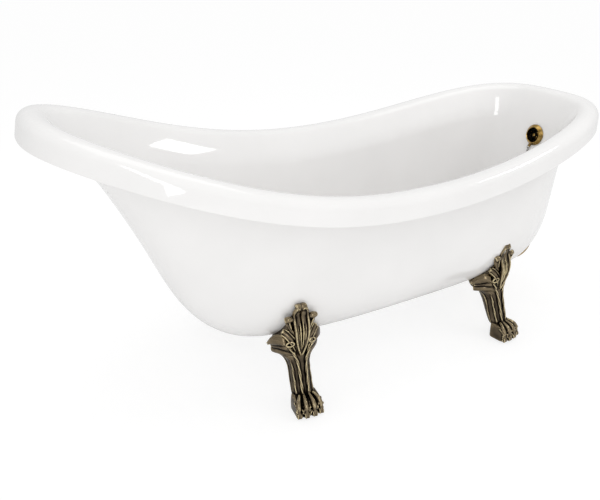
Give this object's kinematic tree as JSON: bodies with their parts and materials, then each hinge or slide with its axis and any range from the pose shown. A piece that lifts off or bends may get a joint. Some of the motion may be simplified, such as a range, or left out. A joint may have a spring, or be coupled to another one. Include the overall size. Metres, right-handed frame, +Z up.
{
  "type": "clawfoot bathtub",
  "caption": "Free-standing slipper bathtub with a rolled rim, four cast claw feet, an overflow with an outside pipe, and a plug on a chain.",
  "frame": {"origin": "on the floor, under the middle of the tub's overall length and width", "axes": "+X towards the low foot end with the overflow, +Z up, -Y towards the near pair of feet"},
  "size_m": [1.7165, 0.728, 0.8345],
  "materials": {
    "white_acrylic": "polished moulded acrylic, mirror gloss",
    "white_acrylic_skin": "polished moulded acrylic, gloss",
    "galvanised_steel": "galvanised strip",
    "zinc_steel": "zinc plated, satin",
    "board": "raw chipboard",
    "antique_brass": "cast, dark patina with rubbed ridges",
    "aged_brass": "turned, aged satin",
    "dark_brass": "dark aged",
    "black_rubber": "moulded, matt"
  },
  "bodies": {
    "root": {"inner_shell": "white_acrylic", "outer_shell": "white_acrylic_skin", "head_strap": "galvanised_steel", "foot_strap": "galvanised_steel", "base_board": "board", "head_near_foot": "antique_brass", "head_far_foot": "antique_brass", "foot_end_near_foot": "antique_brass", "foot_end_far_foot": "antique_brass", "foot_bolts": "zinc_steel", "foot_washers": "zinc_steel", "foot_nuts": "zinc_steel", "overflow_rosette": "aged_brass", "overflow_grille": "dark_brass", "overflow_screw": "aged_brass", "overflow_inner_gasket": "black_rubber", "overflow_outer_gasket": "black_rubber", "overflow_elbow": "aged_brass", "overflow_pipe": "aged_brass", "elbow_slip_nut": "aged_brass", "tee_slip_nut": "aged_brass", "waste_flange": "aged_brass", "waste_gasket": "black_rubber", "waste_locknut": "aged_brass", "waste_tee": "aged_brass", "tail_pipe": "aged_brass", "chain_ring": "dark_brass", "plug_chain": "dark_brass"},
    "plug": {"plug": "black_rubber", "plug_eye": "aged_brass", "plug_ring": "dark_brass"},
    "head_near_leveller": {"head_near_leveller": "zinc_steel"},
    "head_far_leveller": {"head_far_leveller": "zinc_steel"},
    "foot_end_near_leveller": {"foot_end_near_leveller": "zinc_steel"},
    "foot_end_far_leveller": {"foot_end_far_leveller": "zinc_steel"}
  },
  "joints": [
    {"name": "plug_lift", "type": "slide", "parent": "root", "child": "plug", "axis": [0, 0, 1], "range_m": [0, 0.06], "deforming": ["plug_chain"]},
    {"name": "head_near_levelling", "type": "slide", "parent": "root", "child": "head_near_leveller", "axis": [0, 0, -1], "range_m": [0, 0.012]},
    {"name": "head_far_levelling", "type": "slide", "parent": "root", "child": "head_far_leveller", "axis": [0, 0, -1], "range_m": [0, 0.012]},
    {"name": "foot_end_near_levelling", "type": "slide", "parent": "root", "child": "foot_end_near_leveller", "axis": [0, 0, -1], "range_m": [0, 0.012]},
    {"name": "foot_end_far_levelling", "type": "slide", "parent": "root", "child": "foot_end_far_leveller", "axis": [0, 0, -1], "range_m": [0, 0.012]}
  ]
}
